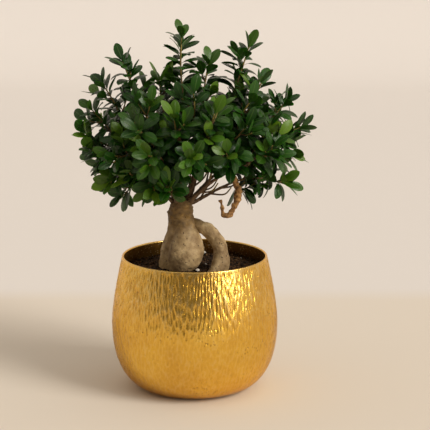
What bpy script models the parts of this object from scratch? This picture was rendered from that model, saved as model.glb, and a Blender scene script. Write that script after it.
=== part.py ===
"""Grafted ficus bonsai growing in a hammered gold metal pot.

Every piece is an object of its own: the pot, the soil, two perlite grains, the
trunk, the looping root, the hanging root, ten branches and the leafy shoots.
Metres, +Z up. The origin is the centre of the pot's underside, -Y is the front.
"""
import math

import bmesh
import bpy
import numpy as np
from mathutils import Vector
from mathutils.bvhtree import BVHTree

# Clearances
GAP = 0.0003                 # left between pieces that touch
SHOOT_GAP = 0.0008           # left round each leafy shoot

# Pot
POT_HEIGHT = 0.199
RIM_RADIUS = 0.107
BELLY_RADIUS = 0.1228
BELLY_HEIGHT = 0.102
BASE_RADIUS = 0.060
WALL = 0.0035
LOWER_ROUNDNESS = 2.35        # 2 is an ellipse, more is squarer
UPPER_TAPER = 1.4            # 1 is a cone, more bends later
POT_STEPS = 40

# Soil
SOIL_LEVEL = 0.1765          # at the wall
SOIL_MOUND = 0.004           # how much higher it stands round the trunk
SOIL_RINGS = 4
PERLITE_RADIUS = 0.0028
PERLITE_PLACES = {
    "perlite_front": Vector((0.0045, -0.0285, 0.1825)),
    "perlite_back": Vector((0.013, 0.092, 0.1802)),
}

# Trunk: two swollen lobes that merge into one neck.
# Each row is height, then X, Y and radius of the rear lobe, then of the front lobe.
TRUNK_SECTIONS = [
    (0.1400, -0.026, 0.006, 0.016, -0.020, -0.004, 0.010),
    (0.1600, -0.027, 0.006, 0.021, -0.020, -0.008, 0.014),
    (0.1770, -0.028, 0.006, 0.0240, -0.019, -0.012, 0.0180),
    (0.1900, -0.028, 0.006, 0.0238, -0.015, -0.013, 0.0240),
    (0.2030, -0.028, 0.006, 0.0222, -0.0125, -0.013, 0.0258),
    (0.2160, -0.027, 0.005, 0.0197, -0.0115, -0.011, 0.0246),
    (0.2300, -0.024, 0.004, 0.0182, -0.0115, -0.008, 0.0198),
    (0.2450, -0.0205, 0.002, 0.0180, -0.0150, -0.004, 0.0165),
    (0.2630, -0.0213, 0.001, 0.0180, -0.0190, -0.001, 0.0150),
    (0.2760, -0.0190, 0.001, 0.0158, -0.0175, 0.000, 0.0140),
    (0.2810, -0.0180, 0.001, 0.0125, -0.0175, 0.000, 0.0110),
]
TRUNK_SIDES = 22
LOBE_BLEND = 0.0016          # how softly the two lobes run into each other

# Looping root: an arc that leaves the neck on the right and curls forward into the soil.
LOOP_CENTRE = Vector((0.001, 0.002, 0.198))
LOOP_RADIUS = 0.038
LOOP_START = 106.0           # degrees, 90 is the top of the arc
LOOP_END = -80.0
LOOP_FORWARD = 0.045         # how far the arc comes forward by its end
LOOP_LIFT = 0.010             # extra height at the neck, gone by the end
LOOP_THIN = 0.0096
LOOP_THICK = 0.0130
LOOP_POINTS = 9

# Branches leave the top of the trunk in an S-shaped curve: bearing in degrees (0 is right, 90 is back),
# distance out, height of the end, how late the curve climbs, radius at the trunk and at the end.
BRANCH_CENTRE = (-0.018, 0.001)
BRANCH_START = 0.006         # distance from that centre where a branch begins, inside the trunk
BRANCH_FOOT = 0.274
BRANCH_CUT = 0.8             # share of the S that is used, so that the ends still climb
BRANCH_POINTS = 7
BRANCHES = {
    "branch_right_low": (2, 0.090, 0.311, 0.75, 0.0024, 0.0014),
    "branch_right_back": (28, 0.088, 0.330, 0.65, 0.0026, 0.0015),
    "branch_right_front": (-26, 0.095, 0.335, 0.60, 0.0030, 0.0017),
    "branch_right_up": (5, 0.045, 0.375, 0.70, 0.0034, 0.0022),
    "branch_centre": (100, 0.012, 0.390, 0.70, 0.0036, 0.0024),
    "branch_left_up": (170, 0.052, 0.365, 0.70, 0.0034, 0.0020),
    "branch_left_front": (236, 0.048, 0.325, 0.70, 0.0032, 0.0018),
    "branch_left_low": (192, 0.064, 0.316, 0.70, 0.0026, 0.0016),
    "branch_back_left": (126, 0.055, 0.330, 0.70, 0.0030, 0.0018),
    "branch_back_right": (62, 0.055, 0.330, 0.70, 0.0030, 0.0018),
}
BRANCH_SIDES = 7

# Hanging root: drops from the front right branch with a bulge, turns a half circle and hooks back up.
HANGING_BRANCH = "branch_right_front"
HANGING_PLACE = 5            # which of the branch's points it hangs under
HANGING_GAP = 0.0075         # from that point down to its top
HANGING_DROP = 0.051
HANGING_BULGE = 0.009
HOOK_RADIUS = 0.0068
HOOK_RISE = 0.016
HOOK_LEAN = 0.003
DROP_POINTS = 5
HOOK_POINTS = 5
HANGING_THICK = 0.0044
HANGING_THIN = 0.0024

# Crown: each leafy shoot points away from the crown's heart. The middle fan is the plant's outline,
# with a shoot every few degrees from low on the right, over the top, to low on the left.
CROWN_HEART = Vector((-0.018, 0.0, 0.345))
MIDDLE_START = -30.0
MIDDLE_STEP = 15.0
MIDDLE_REACH = (0.125, 0.175, 0.180, 0.195, 0.190, 0.175, 0.205, 0.160, 0.195,
                0.135, 0.180, 0.175, 0.165, 0.160, 0.145, 0.120, 0.115)

# Fans before and behind it: lean forward in degrees (minus is to the back), first and last angle
# of the fan, how many shoots, and size as a share of the crown's half axes.
FAN_CENTRE = Vector((0.0, 0.0, 0.345))
CROWN_HALF_WIDTH = 0.150
CROWN_HALF_DEPTH = 0.134
CROWN_RISE = 0.135
LEANING_FANS = {
    "front_top": (24, 55, 125, 3, 0.98),
    "front_upper": (48, 30, 150, 6, 1.00),
    "front_lower": (78, 30, 150, 5, 1.00),
    "front_under": (118, 110, 150, 3, 0.80),
    "back_upper": (-45, 35, 145, 5, 1.00),
    "back_lower": (-78, 35, 145, 4, 1.00),
}
STAGGER = 0.04               # neighbours in a fan stand in and out by this share
UPRIGHT = 0.9                # how much a rising shoot turns upright
LENGTH_SHARE = 0.40          # shoot length as a share of its reach, when it is level
LENGTH_RISE = 0.24           # added to that share when it is upright
SIDE_BASE = 0.014
SIDE_SHARE = 0.12            # sideways reach added for each metre of length
SHOOT_RINGS = 7
SHOOT_SIDES = 9
SHOOT_FOOT_RADIUS = 0.0022
TIER_DEPTH = 0.16            # how deep the notches between the tiers of leaves are
LOBE_DEPTH = 0.14            # how deep the notches between the leaves of a tier are
TIER_LENGTH = 0.026
SHRINK = 0.95
FOOT_SLIDE = 0.02            # share by which a tight shoot's foot moves towards its tip
SHRINK_ROUNDS = 60

GOLD = (0.78, 0.52, 0.17)
SOIL_BROWN = (0.045, 0.028, 0.018)
PERLITE_WHITE = (0.82, 0.78, 0.70)
BARK_TAN = (0.36, 0.27, 0.18)
ROOT_BROWN = (0.30, 0.17, 0.07)
TWIG_BROWN = (0.16, 0.10, 0.05)
LEAF_GREEN = (0.045, 0.16, 0.025)


def clear_scene():
    """Remove every object that the scene holds."""
    for old in list(bpy.data.objects):
        bpy.data.objects.remove(old, do_unlink=True)


def make_material(name, colour, roughness, metallic=0.0):
    """One Principled material with a plain colour."""
    material = bpy.data.materials.new(name)
    material.use_nodes = True
    shader = material.node_tree.nodes["Principled BSDF"]
    shader.inputs["Base Color"].default_value = (*colour, 1.0)
    shader.inputs["Roughness"].default_value = roughness
    shader.inputs["Metallic"].default_value = metallic
    return material


def add_object(name, bm, material=None):
    """Turn a finished bmesh into a named object with outward, smooth-shaded faces."""
    bmesh.ops.recalc_face_normals(bm, faces=bm.faces)
    mesh = bpy.data.meshes.new(name)
    bm.to_mesh(mesh)
    bm.free()
    mesh.shade_smooth()
    mesh.set_sharp_from_angle(angle=math.radians(40))
    if material:
        mesh.materials.append(material)
    obj = bpy.data.objects.new(name, mesh)
    bpy.context.scene.collection.objects.link(obj)
    return obj


def add_cutter(name, bm):
    """A guide solid that only cuts other pieces."""
    cutter = add_object(name, bm)
    cutter.hide_render = True
    cutter.display_type = "WIRE"
    return cutter


def cut(obj, cutter):
    """Subtract the cutter from the object."""
    modifier = obj.modifiers.new("cut_" + cutter.name, "BOOLEAN")
    modifier.operation = "DIFFERENCE"
    modifier.solver = "EXACT"
    modifier.object = cutter


def revolve(profile, steps):
    """Spin a list of (radius, height) points round Z; points on the axis become poles."""
    bm = bmesh.new()
    verts = [bm.verts.new((radius, 0.0, height)) for radius, height in profile]
    edges = [bm.edges.new(pair) for pair in zip(verts, verts[1:])]
    bmesh.ops.spin(bm, geom=verts + edges, cent=(0, 0, 0), axis=(0, 0, 1),
                   angle=math.tau, steps=steps, use_merge=True)
    bmesh.ops.remove_doubles(bm, verts=bm.verts, dist=1e-6)
    return bm


def loft(rings):
    """Skin a list of rings that have equal point counts, and close both ends."""
    bm = bmesh.new()
    layers = [[bm.verts.new(point) for point in ring] for ring in rings]
    for low, high in zip(layers, layers[1:]):
        for side in range(len(low)):
            after = (side + 1) % len(low)
            bm.faces.new((low[side], low[after], high[after]))
            bm.faces.new((low[side], high[after], high[side]))
    bm.faces.new(layers[0])
    bm.faces.new(layers[-1])
    return bm


def smooth_route(points, steps):
    """Catmull-Rom curve through the points, with so many steps on each span."""
    spots = [Vector(point) for point in points]
    spots = [spots[0] * 2 - spots[1]] + spots + [spots[-1] * 2 - spots[-2]]
    route = []
    for a, b, c, d in zip(spots, spots[1:], spots[2:], spots[3:]):
        for step in range(steps):
            t = step / steps
            route.append(0.5 * (2 * b + (c - a) * t + (2 * a - 5 * b + 4 * c - d) * t ** 2
                                + (3 * b - a - 3 * c + d) * t ** 3))
    return route + [spots[-2]]


def frame_along(route):
    """Two side directions at each point of a route, carried along it without twist."""
    frames = []
    side = None
    for index, point in enumerate(route):
        ahead = route[min(index + 1, len(route) - 1)]
        behind = route[max(index - 1, 0)]
        along = (ahead - behind).normalized()
        if side is None:
            side = along.orthogonal()
        side = (side - along * side.dot(along)).normalized()
        frames.append((side, along.cross(side)))
    return frames


def tube(points, radii, sides, steps=2, grow=0.0):
    """Round tube along a smooth route, its radius read from the list between the points."""
    route = smooth_route(points, steps)
    spread = np.interp(np.linspace(0, 1, len(route)), np.linspace(0, 1, len(radii)), radii) + grow
    rings = []
    for centre, (side, up), radius in zip(route, frame_along(route), spread):
        angles = [math.tau * k / sides for k in range(sides)]
        rings.append([centre + (side * math.cos(a) + up * math.sin(a)) * radius for a in angles])
    return loft(rings)


def loop_route():
    """Arc in an upright plane, lifted at the neck, that comes forward towards its end."""
    route = []
    for k in range(LOOP_POINTS):
        part = k / (LOOP_POINTS - 1)
        angle = math.radians(LOOP_START + (LOOP_END - LOOP_START) * part)
        turn = Vector((math.cos(angle), 0.0, math.sin(angle))) * LOOP_RADIUS
        slide = Vector((0.0, -LOOP_FORWARD * part ** 1.5, LOOP_LIFT * (1 - part) ** 3))
        route.append(LOOP_CENTRE + turn + slide)
    return route


def loop_radii():
    """Thin at the neck, thickest three quarters of the way down."""
    parts = [k / (LOOP_POINTS - 1) for k in range(LOOP_POINTS)]
    return [LOOP_THIN + (LOOP_THICK - LOOP_THIN) * math.sin(math.pi * part ** 2.4) for part in parts]


def s_curve(value):
    """0 to 1 with level ends."""
    return value * value * (3 - 2 * value)


def branch_route(name):
    """Points of a branch: steady steps outward, and a height that follows part of an S."""
    bearing, distance, top, lateness, _thick, _thin = BRANCHES[name]
    angle = math.radians(bearing)
    full = s_curve(BRANCH_CUT ** lateness)
    route = []
    for k in range(BRANCH_POINTS):
        part = k / (BRANCH_POINTS - 1)
        out = BRANCH_START + (distance - BRANCH_START) * part
        climb = s_curve((BRANCH_CUT * part) ** lateness) / full
        x = BRANCH_CENTRE[0] + out * math.cos(angle)
        y = BRANCH_CENTRE[1] + out * math.sin(angle)
        route.append(Vector((x, y, BRANCH_FOOT + (top - BRANCH_FOOT) * climb)))
    return route


def hanging_route():
    """Bulging drop, a half circle to the left, and a short rise that leans left."""
    top = branch_route(HANGING_BRANCH)[HANGING_PLACE] - Vector((0.0, 0.0, HANGING_GAP))
    route = []
    for k in range(DROP_POINTS):
        part = k / DROP_POINTS
        route.append(top + Vector((HANGING_BULGE * math.sin(math.pi * part), 0.0, -HANGING_DROP * part)))
    middle = top + Vector((-HOOK_RADIUS, 0.0, -HANGING_DROP))
    for k in range(HOOK_POINTS):
        angle = -math.pi * k / (HOOK_POINTS - 1)
        route.append(middle + Vector((math.cos(angle), 0.0, math.sin(angle))) * HOOK_RADIUS)
    left = route[-1]
    for part in (0.5, 1.0):
        route.append(left + Vector((-HOOK_LEAN * part ** 2, 0.0, HOOK_RISE * part)))
    return route


def hanging_radii():
    """Tapers along its length."""
    return [HANGING_THICK, HANGING_THICK, (HANGING_THICK + HANGING_THIN) / 2, HANGING_THIN]


def lower_wall(steps):
    """Outer wall from the base edge up to the belly, a quarter of a squarish oval."""
    power = 2 / LOWER_ROUNDNESS
    points = []
    for step in range(steps + 1):
        angle = math.pi / 2 * step / steps
        radius = BASE_RADIUS + (BELLY_RADIUS - BASE_RADIUS) * math.sin(angle) ** power
        height = BELLY_HEIGHT * (1 - max(math.cos(angle), 0.0) ** power)
        points.append((radius, height))
    return points


def upper_wall(steps, top):
    """Outer wall from just above the belly up to the given height."""
    points = []
    for step in range(1, steps + 1):
        part = step / steps * (top - BELLY_HEIGHT) / (POT_HEIGHT - BELLY_HEIGHT)
        radius = BELLY_RADIUS - (BELLY_RADIUS - RIM_RADIUS) * part ** UPPER_TAPER
        points.append((radius, BELLY_HEIGHT + part * (POT_HEIGHT - BELLY_HEIGHT)))
    return points


def offset_inward(points, distance):
    """Move a wall's points inward along its normal."""
    moved = []
    for index, (radius, height) in enumerate(points):
        before = points[max(index - 1, 0)]
        after = points[min(index + 1, len(points) - 1)]
        run = after[0] - before[0]
        rise = after[1] - before[1]
        length = math.hypot(run, rise)
        moved.append((radius - rise / length * distance, height + run / length * distance))
    return moved


def wall_inside(lower_steps, upper_steps, top, distance):
    """Wall points at a distance inside the outer wall, from the floor of the pot to the top."""
    outer = lower_wall(lower_steps) + upper_wall(upper_steps, top)
    inner = offset_inward(outer, distance)
    return [(radius, max(height, distance)) for radius, height in inner]


def build_pot():
    """Turned metal shell with a half-round rim and a flat underside."""
    rim_start = POT_HEIGHT - WALL / 2
    outer = lower_wall(8) + upper_wall(5, rim_start)
    inner = wall_inside(8, 5, rim_start, WALL)
    middle = (outer[-1][0] + inner[-1][0]) / 2
    angles = [math.pi * k / 4 for k in range(1, 4)]
    rim = [(middle + WALL / 2 * math.cos(a), rim_start + WALL / 2 * math.sin(a)) for a in angles]
    profile = [(0.0, 0.0)] + outer + rim + inner[::-1] + [(0.0, WALL)]
    return add_object("pot", revolve(profile, POT_STEPS),
                      make_material("gold_metal", GOLD, 0.35, 1.0))


def soil_height(radius, top_radius):
    """Height of the soil at a distance from the axis: a low mound."""
    return SOIL_LEVEL + SOIL_MOUND * math.cos(math.pi / 2 * radius / top_radius) ** 2


def build_soil(cutters):
    """Plug of potting mix that fills the pot, with sockets for the trunk and the root."""
    side = wall_inside(8, 4, SOIL_LEVEL, WALL + GAP)
    top_radius = side[-1][0]
    top = []
    for ring in range(SOIL_RINGS - 1, -1, -1):
        radius = top_radius * ring / SOIL_RINGS
        top.append((radius, soil_height(radius, top_radius)))
    profile = [(0.0, WALL + GAP)] + side + top
    soil = add_object("soil", revolve(profile, POT_STEPS),
                      make_material("potting_soil", SOIL_BROWN, 0.95))
    for cutter in cutters:
        cut(soil, cutter)
    return soil


def build_perlite():
    """Two small white grains lying on the soil."""
    white = make_material("perlite_white", PERLITE_WHITE, 0.8)
    for name, place in PERLITE_PLACES.items():
        bm = bmesh.new()
        bmesh.ops.create_icosphere(bm, subdivisions=1, radius=PERLITE_RADIUS)
        bmesh.ops.scale(bm, verts=bm.verts, vec=(1.3, 1.0, 0.75))
        bmesh.ops.translate(bm, verts=bm.verts, vec=place)
        add_object(name, bm, white)


def reach_to_circle(direction, offset, radius):
    """Distance from the section's middle to a circle's far side, along each direction."""
    along = direction @ offset
    return along + np.sqrt(np.maximum(radius ** 2 - offset @ offset + along ** 2, 1e-10))


def trunk_ring(row, grow):
    """One section of the trunk: the soft outline of its two lobes' circles."""
    height, rear_x, rear_y, rear_radius, front_x, front_y, front_radius = row
    rear = np.array((rear_x, rear_y))
    front = np.array((front_x, front_y))
    middle = (rear + front) / 2
    angles = np.linspace(0, math.tau, TRUNK_SIDES, endpoint=False)
    direction = np.stack((np.cos(angles), np.sin(angles)), axis=1)
    far_rear = reach_to_circle(direction, rear - middle, rear_radius)
    far_front = reach_to_circle(direction, front - middle, front_radius)
    reach = LOBE_BLEND * np.logaddexp(far_rear / LOBE_BLEND, far_front / LOBE_BLEND) + grow
    return [(middle[0] + d[0] * r, middle[1] + d[1] * r, height) for d, r in zip(direction, reach)]


def trunk_mesh(grow=0.0):
    """The trunk, or with grow a slightly larger copy of it that cuts its neighbours."""
    rings = [trunk_ring(row, grow) for row in TRUNK_SECTIONS]
    lift = [(x, y, z + grow) for x, y, z in rings[-1]]
    drop = [(x, y, z - grow) for x, y, z in rings[0]]
    return loft([drop] + rings[1:-1] + [lift])


def build_loop_root(trunk_cutter):
    """Thick looping root, cut flush with the trunk's neck."""
    root = add_object("root_loop", tube(loop_route(), loop_radii(), 12),
                      make_material("root_bark", BARK_TAN, 0.75))
    cut(root, trunk_cutter)


def build_hanging_root():
    """Dry aerial root that hangs below a branch and hooks back up."""
    add_object("root_hanging", tube(hanging_route(), hanging_radii(), 7),
               make_material("dry_root", ROOT_BROWN, 0.8))


def build_branches(trunk_cutter):
    """Tapering branches, cut flush with the top of the trunk."""
    bark = make_material("twig_bark", TWIG_BROWN, 0.75)
    for name, (_bearing, _distance, _top, _lateness, thick, thin) in BRANCHES.items():
        branch = add_object(name, tube(branch_route(name), [thick, thin], BRANCH_SIDES), bark)
        cut(branch, trunk_cutter)


def shoot_ring(foot, tip, reach, part, turn):
    """One ring of a leafy shoot, notched between tiers and between leaves."""
    along = (tip - foot).normalized()
    side = along.orthogonal().normalized()
    up = along.cross(side)
    tiers = max((tip - foot).length / TIER_LENGTH, 1.0)
    width = math.sin(math.pi * part ** 0.75) ** 0.7
    tier = 1 - TIER_DEPTH * (0.5 + 0.5 * math.cos(math.tau * tiers * part))
    ring = []
    for k in range(SHOOT_SIDES):
        angle = math.tau * k / SHOOT_SIDES + turn
        lobe = 1 - LOBE_DEPTH * (0.5 + 0.5 * math.cos(3 * angle + 5 * turn))
        radius = max(reach * width * tier * lobe, SHOOT_FOOT_RADIUS)
        centre = foot.lerp(tip, part)
        ring.append(centre + (side * math.cos(angle) + up * math.sin(angle)) * radius)
    return ring


def shoot_mesh(foot, tip, reach):
    """Closed envelope of one leafy shoot, slim at the foot and rounded at the tip."""
    parts = [0.0] + [(k + 0.6) / (SHOOT_RINGS + 0.2) for k in range(SHOOT_RINGS)]
    rings = [shoot_ring(foot, tip, reach, part, 0.35 * k) for k, part in enumerate(parts)]
    bm = loft(rings)
    bm.faces.ensure_lookup_table()
    end = bmesh.ops.poke(bm, faces=[bm.faces[-1]])
    end["verts"][0].co = tip
    return bm


def outline_tree(bm):
    """Search tree over a bmesh's faces; the bmesh is used up."""
    tree = BVHTree.FromBMesh(bm)
    bm.free()
    return tree


def grown_shoot(heart, tip):
    """Foot, tip and sideways reach: the shoot ends at the tip and bends upright as it rises."""
    out = tip - heart
    radial = out.normalized()
    axis = (radial + Vector((0.0, 0.0, UPRIGHT * max(radial.z, 0.0)))).normalized()
    length = out.length * (LENGTH_SHARE + LENGTH_RISE * radial.z)
    return tip - axis * length, tip, SIDE_BASE + SIDE_SHARE * length


def crown_shoots():
    """Every shoot of the middle fan and of the leaning fans, by name."""
    shoots = {}
    for k, reach in enumerate(MIDDLE_REACH):
        angle = math.radians(MIDDLE_START + MIDDLE_STEP * k)
        tip = CROWN_HEART + Vector((math.cos(angle), 0.0, math.sin(angle))) * reach
        shoots["shoot_middle_%02d" % (k + 1)] = grown_shoot(CROWN_HEART, tip)
    for fan, (lean, first, last, count, size) in LEANING_FANS.items():
        tilt = math.radians(lean)
        for k in range(count):
            angle = math.radians(first + (last - first) * k / (count - 1))
            out = Vector((CROWN_HALF_WIDTH * math.cos(angle),
                          -CROWN_HALF_DEPTH * math.sin(angle) * math.sin(tilt),
                          CROWN_RISE * math.sin(angle) * math.cos(tilt)))
            tip = FAN_CENTRE + out * size * (1 + STAGGER * (-1) ** k)
            shoots["shoot_%s_%d" % (fan, k + 1)] = grown_shoot(FAN_CENTRE, tip)
    return shoots


def clear_shoots(fixed):
    """Slim the shoots, and slide their feet out, until none meets another or a fixed piece."""
    shoots = crown_shoots()
    for _ in range(SHRINK_ROUNDS):
        trees = {name: outline_tree(shoot_mesh(foot, tip, reach + SHOOT_GAP))
                 for name, (foot, tip, reach) in shoots.items()}
        tight = {name for name in shoots if any(trees[name].overlap(piece) for piece in fixed)}
        names = list(shoots)
        for index, name in enumerate(names):
            for other in names[index + 1:]:
                if trees[name].overlap(trees[other]):
                    tight.update((name, other))
        if not tight:
            break
        for name in tight:
            foot, tip, reach = shoots[name]
            shoots[name] = (foot.lerp(tip, FOOT_SLIDE), tip, reach * SHRINK)
    return shoots


def build_shoots():
    """All leafy shoots, each clear of its neighbours, the branches and the trunk."""
    fixed = [outline_tree(trunk_mesh(GAP)), outline_tree(tube(hanging_route(), hanging_radii(), 7))]
    for name, (_bearing, _distance, _top, _lateness, thick, thin) in BRANCHES.items():
        fixed.append(outline_tree(tube(branch_route(name), [thick, thin], BRANCH_SIDES, grow=GAP)))
    green = make_material("leaf_green", LEAF_GREEN, 0.4)
    for name, (foot, tip, reach) in clear_shoots(fixed).items():
        add_object(name, shoot_mesh(foot, tip, reach), green)


def main():
    clear_scene()
    trunk_cutter = add_cutter("trunk_cutter", trunk_mesh(GAP))
    loop_cutter = add_cutter("loop_cutter", tube(loop_route(), loop_radii(), 12, grow=GAP))
    build_pot()
    build_soil([trunk_cutter, loop_cutter])
    build_perlite()
    add_object("trunk", trunk_mesh(), make_material("trunk_bark", BARK_TAN, 0.75))
    build_loop_root(trunk_cutter)
    build_hanging_root()
    build_branches(trunk_cutter)
    build_shoots()


main()
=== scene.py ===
import math

import bpy
import numpy as np
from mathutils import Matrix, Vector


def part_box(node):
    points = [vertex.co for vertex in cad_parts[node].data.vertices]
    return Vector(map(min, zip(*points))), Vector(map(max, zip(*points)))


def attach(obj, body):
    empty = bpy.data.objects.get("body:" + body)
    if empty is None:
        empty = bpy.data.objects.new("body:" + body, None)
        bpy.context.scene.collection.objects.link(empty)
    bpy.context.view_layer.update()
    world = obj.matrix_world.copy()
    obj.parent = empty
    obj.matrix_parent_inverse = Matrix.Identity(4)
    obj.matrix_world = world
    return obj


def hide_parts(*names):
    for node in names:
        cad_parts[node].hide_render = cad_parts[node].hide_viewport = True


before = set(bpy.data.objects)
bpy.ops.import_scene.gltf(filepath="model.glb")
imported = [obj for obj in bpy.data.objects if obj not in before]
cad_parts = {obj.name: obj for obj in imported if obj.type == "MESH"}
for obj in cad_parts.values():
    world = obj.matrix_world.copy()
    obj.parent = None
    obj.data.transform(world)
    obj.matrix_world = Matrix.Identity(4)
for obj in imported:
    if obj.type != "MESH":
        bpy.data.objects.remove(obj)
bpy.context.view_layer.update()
up = np.array([0.0, 0.0, 1.0])
print("frame loaded:", len(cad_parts), "nodes")


def smoothStep(value, low, high):
    # 0 below low, 1 above high, and an S-shaped ramp between them
    part = np.clip((value - low) / (high - low), 0, 1)
    return part * part * (3 - 2 * part)


def between(first, second, share):
    # first at share 0 and second at share 1, in proportion
    return first + (second - first) * share


def unit(vectors):
    # each vector divided by its own length
    return vectors / np.maximum(np.linalg.norm(vectors, axis=-1, keepdims=True), 1e-9)


def cellNumber(cells, seed):
    # a repeatable number from 0 to 1 for every whole-numbered cell, by integer hashing
    mixed = cells[..., 0] * 73856093 ^ cells[..., 1] * 19349663 ^ cells[..., 2] * 83492791 ^ seed * 2654435
    mixed = (mixed ^ (mixed >> 13)) * 1274126177 & 0xFFFFFFFF
    mixed = (mixed ^ (mixed >> 15)) * 2246822519 & 0xFFFFFFFF
    return ((mixed ^ (mixed >> 16)) & 0xFFFFFF) / 0xFFFFFF


def softNoise(points, size, seed):
    # value noise from -1 to 1: the eight corner numbers of a cell blended by S-shaped weights
    place = points / size
    cell = np.floor(place).astype(np.int64)
    part = place - cell
    part = part * part * (3 - 2 * part)
    total = np.zeros(points.shape[:-1])
    for corner in np.ndindex(2, 2, 2):
        weight = np.prod(np.where(np.array(corner), part, 1 - part), axis=-1)
        total += weight * cellNumber(cell + np.array(corner), seed)
    return total * 2 - 1


def pebbleCells(points, seed):
    # distance to the nearest and the second nearest of one jittered point per unit cell
    cell = np.floor(points).astype(np.int64)
    nearest = np.full(points.shape[:-1], 9.0)
    second = np.full(points.shape[:-1], 9.0)
    for step in np.ndindex(3, 3, 3):
        here = cell + np.array(step) - 1
        jitter = np.stack([cellNumber(here, seed + k) for k in range(3)], axis=-1)
        away = np.linalg.norm(here + jitter - points, axis=-1)
        second = np.minimum(second, np.maximum(nearest, away))
        nearest = np.minimum(nearest, away)
    return nearest, second


def smoothRoute(points, count):
    # Catmull-Rom curve through the points, read at evenly spaced places of its parameter
    spots = np.array(points, float)
    spots = np.vstack([2 * spots[0] - spots[1], spots, 2 * spots[-1] - spots[-2]])
    place = np.linspace(0, len(points) - 1, count)
    span = np.minimum(place.astype(int), len(points) - 2)
    t = (place - span)[:, None]
    a, b, c, d = (spots[span + k] for k in range(4))
    square, cube = 2 * a - 5 * b + 4 * c - d, 3 * b - a - 3 * c + d
    return 0.5 * (2 * b + (c - a) * t + square * t ** 2 + cube * t ** 3)


def lengthAlong(line):
    # distance travelled from the line's start to each of its points
    return np.concatenate([[0], np.cumsum(np.linalg.norm(np.diff(line, axis=0), axis=1))])


def routeFrames(route):
    # unit direction along the route, and two side directions carried along it without twist
    along = unit(np.gradient(route, axis=0))
    side = np.zeros_like(route)
    last = np.cross(along[0], [0.3, 0.9, 0.2])
    for index, direction in enumerate(along):
        last = last - direction * (last @ direction)
        last = last / np.linalg.norm(last)
        side[index] = last
    return along, side, np.cross(along, side)


def putMesh(name, points, faceGroups, material, uv=None, faceNumbers=None, pointNumbers=None):
    # arrays of corner numbers become polygons; numbers per face or per point become named attributes
    mesh = bpy.data.meshes.new(name)
    corners = np.concatenate([group.ravel() for group in faceGroups]).astype(np.int32)
    sizes = np.concatenate([np.full(len(group), group.shape[1]) for group in faceGroups])
    mesh.vertices.add(len(points))
    mesh.vertices.foreach_set("co", points.astype(np.float32).ravel())
    mesh.loops.add(len(corners))
    mesh.loops.foreach_set("vertex_index", corners)
    mesh.polygons.add(len(sizes))
    mesh.polygons.foreach_set("loop_start", (np.cumsum(sizes) - sizes).astype(np.int32))
    mesh.update(calc_edges=True)
    if uv is not None:
        layer = mesh.uv_layers.new(name=uv[0])
        layer.data.foreach_set("uv", uv[1][corners].astype(np.float32).ravel())
    for domain, numbers in (("FACE", faceNumbers), ("POINT", pointNumbers)):
        for label, values in (numbers or {}).items():
            attribute = mesh.attributes.new(label, "FLOAT", domain)
            attribute.data.foreach_set("value", values.astype(np.float32).ravel())
    mesh.shade_smooth()
    mesh.materials.append(material)
    piece = bpy.data.objects.new(name, mesh)
    bpy.context.scene.collection.objects.link(piece)
    return piece


def wrapFaces(rows, columns, start=0):
    # quads of a grid whose last column joins its first
    row, column = np.mgrid[0:rows - 1, 0:columns]
    after = (column + 1) % columns
    quads = np.stack([row * columns + column, row * columns + after,
                      (row + 1) * columns + after, (row + 1) * columns + column], axis=-1)
    return quads.reshape(-1, 4) + start


def fanFaces(rim, centre, flip):
    # triangles from a ring of corners to one middle point
    after = np.roll(rim, -1)
    ends = (after, rim) if flip else (rim, after)
    return np.stack([*ends, np.full(len(rim), centre)], axis=-1)


def closedTube(grid, start=0):
    # a rows x columns x 3 grid closed at both ends by a middle point; gives points, quads and triangles
    rows, columns = grid.shape[:2]
    points = np.vstack([grid.reshape(-1, 3), grid[0].mean(axis=0), grid[-1].mean(axis=0)])
    quads = wrapFaces(rows, columns, start)
    low = fanFaces(np.arange(columns) + start, rows * columns + start, True)
    high = fanFaces(np.arange(columns) + (rows - 1) * columns + start, rows * columns + 1 + start, False)
    return points, quads, np.vstack([low, high])


def tubeGrid(route, radii, sides):
    # circles of the given radii set square to the route
    _along, side, other = routeFrames(route)
    angle = np.linspace(0, math.tau, sides, endpoint=False)[None, :, None]
    ring = side[:, None] * np.cos(angle) + other[:, None] * np.sin(angle)
    return route[:, None] + ring * np.asarray(radii).reshape(len(route), -1, 1), ring


def settle(piece, slotName, *nodes):
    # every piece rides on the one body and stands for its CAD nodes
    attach(piece, "root")
    if nodes:
        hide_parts(*nodes)


def putTube(name, grid, material, slotName, *nodes, **numbers):
    # a grid closed into a tube, as a settled piece; numbers are per point, with the two end points last
    points, quads, fans = closedTube(grid)
    settle(putMesh(name, points, [quads, fans], material, pointNumbers=numbers), slotName, *nodes)
    print(name + ":", len(points), "points")


def nodePoints(node):
    # all corner points of a CAD node
    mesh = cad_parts[node].data
    flat = np.zeros(len(mesh.vertices) * 3, np.float32)
    mesh.vertices.foreach_get("co", flat)
    return flat.reshape(-1, 3).astype(float)


def plug(tree, node, wires):
    # each wire is a plain value set on the socket, or another node's output linked to it
    for key, value in wires.items():
        if isinstance(value, bpy.types.NodeSocket):
            tree.links.new(value, node.inputs[key])
        else:
            node.inputs[key].default_value = value


def addNode(tree, kind, wires=None, **settings):
    # a node with its settings and wires
    made = tree.nodes.new("ShaderNode" + kind)
    for key, value in settings.items():
        setattr(made, key, value)
    plug(tree, made, wires or {})
    return made


def startMaterial(name):
    # a new material with its shader, and the object's own coordinates for its patterns
    material = bpy.data.materials.new(name)
    material.use_nodes = True
    tree = material.node_tree
    return material, tree, tree.nodes["Principled BSDF"], addNode(tree, "TexCoord").outputs["Object"]


def attributeOf(tree, label):
    # a number stored on the mesh
    return addNode(tree, "Attribute", attribute_name=label).outputs["Fac"]


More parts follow.
